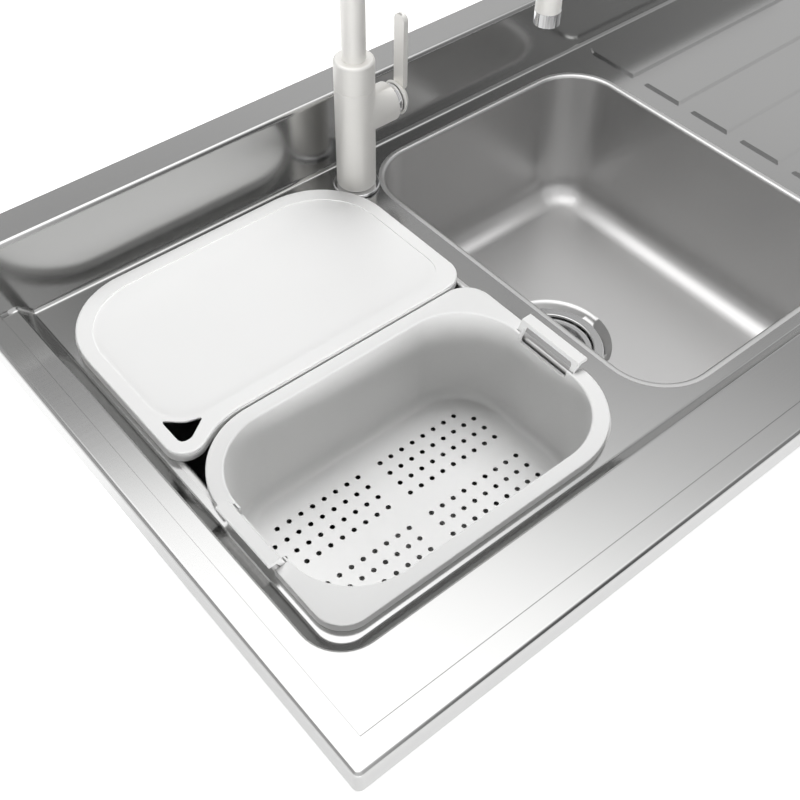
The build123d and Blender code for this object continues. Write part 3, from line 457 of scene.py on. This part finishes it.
@dataclass
class Workshop:
    """Dresses every CAD node and keeps the materials.

    Args:
        finishes: the finishes to make.
    """

    finishes: Finishes = field(default_factory=Finishes)
    made: dict[str, bpy.types.Material] = field(default_factory=dict)

    def material(self, finish: Finish) -> bpy.types.Material:
        """Material of a finish, made on first use.

        Args:
            finish: the finish.

        Returns:
            Its material.
        """
        if finish.name not in self.made:
            self.made[finish.name] = finish.build()
        return self.made[finish.name]

    def by_slot(self) -> dict[str, Finish]:
        """Finish of each of the record's slots."""
        f = self.finishes
        return {"brushed_steel_sheet": f.deck, "frame_rail": f.rail, "zinc_plated_steel": f.zinc,
                "sound_pad": f.pad, "seal_rubber": f.rubber, "polished_steel": f.waste,
                "waste_plastic": f.waste_plastic, "white_board": f.board, "white_colander": f.colander,
                "polished_chrome": f.chrome, "satin_tap": f.tap, "brass_shank": f.brass,
                "cartridge_plastic": f.cartridge}

    def dress_frame(self) -> None:
        """Give every CAD node the material of its slot."""
        slots = self.by_slot()
        for entry in frame["record"]["subparts"]:
            dress(frame["nodes"][entry["node"]], self.material(slots[entry["material_slot"]]))

    def shells(self, nodes: Iterable[str], finish: Finish) -> None:
        """Make welded, smooth copies of some nodes in one finish.

        Args:
            nodes: the nodes.
            finish: their finish.
        """
        for node in nodes:
            piece = Shell(node).build()
            dress(piece, self.material(finish))
            LOG.info("%s: %d faces", piece.name, len(piece.data.polygons))


@dataclass(frozen=True)
class Viewpoint:
    """Camera of the photograph, fitted to its straight edges.

    Args:
        place: position.
        yaw: degrees from +Y towards +X.
        pitch: degrees below the horizon.
        roll: degrees about the line of sight.
        focal_pixels: focal length in pixels of the photograph.
        frame_pixels: width of the photograph.
        sensor: width of the camera's sensor in millimetres.
        nearest: distance from which it sees.
    """

    place: Place = (-0.7960, -0.5707, 0.7920)
    yaw: float = 40.3
    pitch: float = 48.5
    roll: float = -0.8
    focal_pixels: float = 1170.0
    frame_pixels: float = 800.0
    sensor: float = 36.0
    nearest: float = 0.01

    def build(self) -> None:
        """Make the camera and use it."""
        yaw, pitch, roll = (math.radians(a) for a in (self.yaw, self.pitch, self.roll))
        level = math.cos(pitch)
        forward = Vector((math.sin(yaw) * level, math.cos(yaw) * level, -math.sin(pitch)))
        right = Vector((math.cos(yaw), -math.sin(yaw), 0.0))
        down = forward.cross(right)
        across = math.cos(roll) * right + math.sin(roll) * down
        downward = math.cos(roll) * down - math.sin(roll) * right
        data = bpy.data.cameras.new("photo_camera")
        data.sensor_width = self.sensor
        data.lens = self.focal_pixels * self.sensor / self.frame_pixels
        data.clip_start = self.nearest
        camera = bpy.data.objects.new("photo_camera", data)
        bpy.context.scene.collection.objects.link(camera)
        turn = Matrix((across, -downward, -forward)).transposed()
        camera.matrix_world = Matrix.Translation(self.place) @ turn.to_4x4()
        bpy.context.scene.camera = camera


@dataclass(frozen=True)
class Lamp:
    """Rectangular softbox.

    Args:
        name: its name.
        place: centre.
        aim: point that it faces.
        size: width and depth.
        power: watts.
    """

    name: str
    place: Place
    aim: Place
    size: tuple[float, float]
    power: float

    def build(self) -> None:
        """Add the lamp."""
        data = bpy.data.lights.new(self.name, "AREA")
        data.shape = "RECTANGLE"
        data.size, data.size_y = self.size
        data.energy = self.power
        lamp = bpy.data.objects.new(self.name, data)
        bpy.context.scene.collection.objects.link(lamp)
        lamp.location = self.place
        lamp.visible_glossy = False
        lamp.rotation_euler = (Vector(self.aim) - Vector(self.place)).to_track_quat("-Z", "Y").to_euler()


@dataclass(frozen=True)
class Studio:
    """Pale floor, soft surroundings and lamps.

    The stretches give the light of the surroundings as (place, level) pairs. Metal mirrors all of them but
    soft; everything else is lit by soft. A place of 0 is the far left, the very front or straight down.

    Args:
        floor_drop: depth of the floor below the frame's plane.
        floor_size: side of the floor.
        floor_colour: its grey.
        floor_glow: light added to it where it is looked at or mirrored.
        rear_left: levels by height behind the sink, at the left.
        rear_right: levels by height behind the sink, at the right.
        to_right: share of rear_right, from left to right.
        front_low: levels from left to right in front, low down.
        front_high: levels by height in front, high up.
        to_high: share of front_high by height.
        to_rear: share of the rear, from front to back.
        soft: levels by height for all that isn't mirrored.
        lamps: the softboxes, which no metal mirrors.
    """

    floor_drop: float = 0.335
    floor_size: float = 14.0
    floor_colour: float = 0.80
    floor_glow: float = 0.72
    rear_left: Stops = ((0.0, 0.63), (0.60, 0.60), (0.65, 0.40), (0.73, 0.40), (0.752, 0.58), (0.776, 1.2),
                        (0.790, 1.95), (0.85, 2.15), (0.90, 2.15), (0.94, 2.6), (1.0, 2.6))
    rear_right: Stops = ((0.0, 0.72), (0.58, 0.72), (0.63, 0.40), (0.66, 0.43), (0.70, 0.48), (0.725, 0.76),
                         (0.755, 0.78), (0.776, 0.95), (0.80, 1.25), (0.825, 1.5), (0.85, 1.75),
                         (0.875, 1.9), (0.90, 2.0), (0.94, 2.6), (1.0, 2.6))
    to_right: Stops = ((0.0, 0.0), (0.62, 0.0), (0.74, 1.0), (1.0, 1.0))
    front_low: Stops = ((0.0, 0.9), (0.61, 0.9), (0.622, 0.8), (0.634, 0.5), (0.644, 0.33), (0.68, 0.21),
                        (0.73, 0.1), (0.80, 0.3), (0.9, 0.6), (1.0, 0.6))
    front_high: Stops = ((0.0, 0.9), (0.88, 0.9), (0.94, 1.8), (1.0, 2.0))
    to_high: Stops = ((0.0, 0.0), (0.72, 0.0), (0.80, 1.0), (1.0, 1.0))
    to_rear: Stops = ((0.0, 0.0), (0.42, 0.0), (0.52, 1.0), (1.0, 1.0))
    soft: Stops = ((0.0, 1.5), (0.10, 1.5), (0.22, 0.12), (1.0, 0.12))
    lamps: tuple[Lamp, ...] = (
        Lamp("overhead_softbox", (0.45, 0.5, 1.75), (-0.2, 0.0, 0.0), (1.2, 1.2), 42.0),
        Lamp("low_softbox", (-1.9, -1.9, 0.2), (-0.4, 0.0, 0.02), (1.8, 0.3), 45.0),
    )

    def floor(self) -> None:
        """Add the floor, seen white by the camera and in reflections, with the sink's shadow on it."""
        bpy.ops.mesh.primitive_plane_add(size=self.floor_size, location=(0, 0, -self.floor_drop))
        plane = bpy.context.object
        plane.name = "studio_floor"
        graph = Graph(bpy.data.materials.new("studio_floor"))
        path = graph.add("ShaderNodeLightPath", {}, {})
        seen = Term(graph, path.outputs["Is Camera Ray"]) + Term(graph, path.outputs["Is Glossy Ray"])
        seen = seen + Term(graph, path.outputs["Is Transmission Ray"])
        grey = (self.floor_colour,) * 3
        matt = graph.add("ShaderNodeBsdfDiffuse", {}, {"Color": (*grey, 1.0)})
        glow = graph.add("ShaderNodeEmission", {}, {"Color": WHITE, "Strength": self.floor_glow})
        both = graph.add("ShaderNodeAddShader", {}, {0: matt.outputs[0], 1: glow.outputs[0]})
        shown = graph.add("ShaderNodeMixShader", {}, {0: seen, 1: matt.outputs[0], 2: both.outputs[0]})
        graph.finish(shown)
        dress(plane, bpy.data.materials["studio_floor"])

    def surroundings(self) -> None:
        """Make the world: bands of light for metal to mirror, soft light for the rest, white to look at."""
        world = bpy.data.worlds.new("studio")
        bpy.context.scene.world = world
        graph = Graph(world)
        way = graph.add("ShaderNodeTexCoord", {}, {}).outputs["Generated"]
        axes = graph.add("ShaderNodeSeparateXYZ", {}, {"Vector": way}).outputs
        across, depth, height = (Term(graph, axes[axis]) for axis in "XYZ")
        across = across * HALF + HALF
        rear = graph.mixed(graph.ramp(across, self.to_right), graph.ramp(height, self.rear_left),
                           graph.ramp(height, self.rear_right))
        front = graph.mixed(graph.ramp(height, self.to_high), graph.ramp(across, self.front_low),
                            graph.ramp(height, self.front_high))
        mirrored = graph.mixed(graph.ramp(depth * HALF + HALF, self.to_rear), front, rear)
        path = graph.add("ShaderNodeLightPath", {}, {}).outputs
        light = graph.mixed(Term(graph, path["Is Glossy Ray"]), graph.ramp(height, self.soft), mirrored)
        glow = graph.add("ShaderNodeBackground", {}, {"Color": WHITE, "Strength": light})
        white = graph.add("ShaderNodeBackground", {}, {"Color": WHITE, "Strength": 1.0})
        shown = graph.add("ShaderNodeMixShader", {}, {0: path["Is Camera Ray"], 1: glow.outputs[0],
                                                      2: white.outputs[0]})
        graph.finish(shown, "ShaderNodeOutputWorld")

    def build(self) -> None:
        """Set up floor, surroundings, lamps and the colour view."""
        self.floor()
        self.surroundings()
        for lamp in self.lamps:
            lamp.build()
        bpy.context.scene.view_settings.view_transform = "Standard"


def main() -> None:
    """Build every piece around the frame."""
    logging.basicConfig(level=logging.INFO, format="%(name)s: %(message)s")
    Viewpoint().build()
    Studio().build()
    shop = Workshop()
    shop.dress_frame()
    finishes = shop.finishes
    shop.shells(["sink_top"], finishes.deck)
    shop.shells(["left_bowl", "right_bowl"], finishes.bowl)
    shop.shells(["cutting_board"], finishes.board)
    shop.shells(["colander"], finishes.colander)
    shop.shells(["tap_body", "tap_lever", "spout"], finishes.tap)


if __name__ == "__main__":
    main()
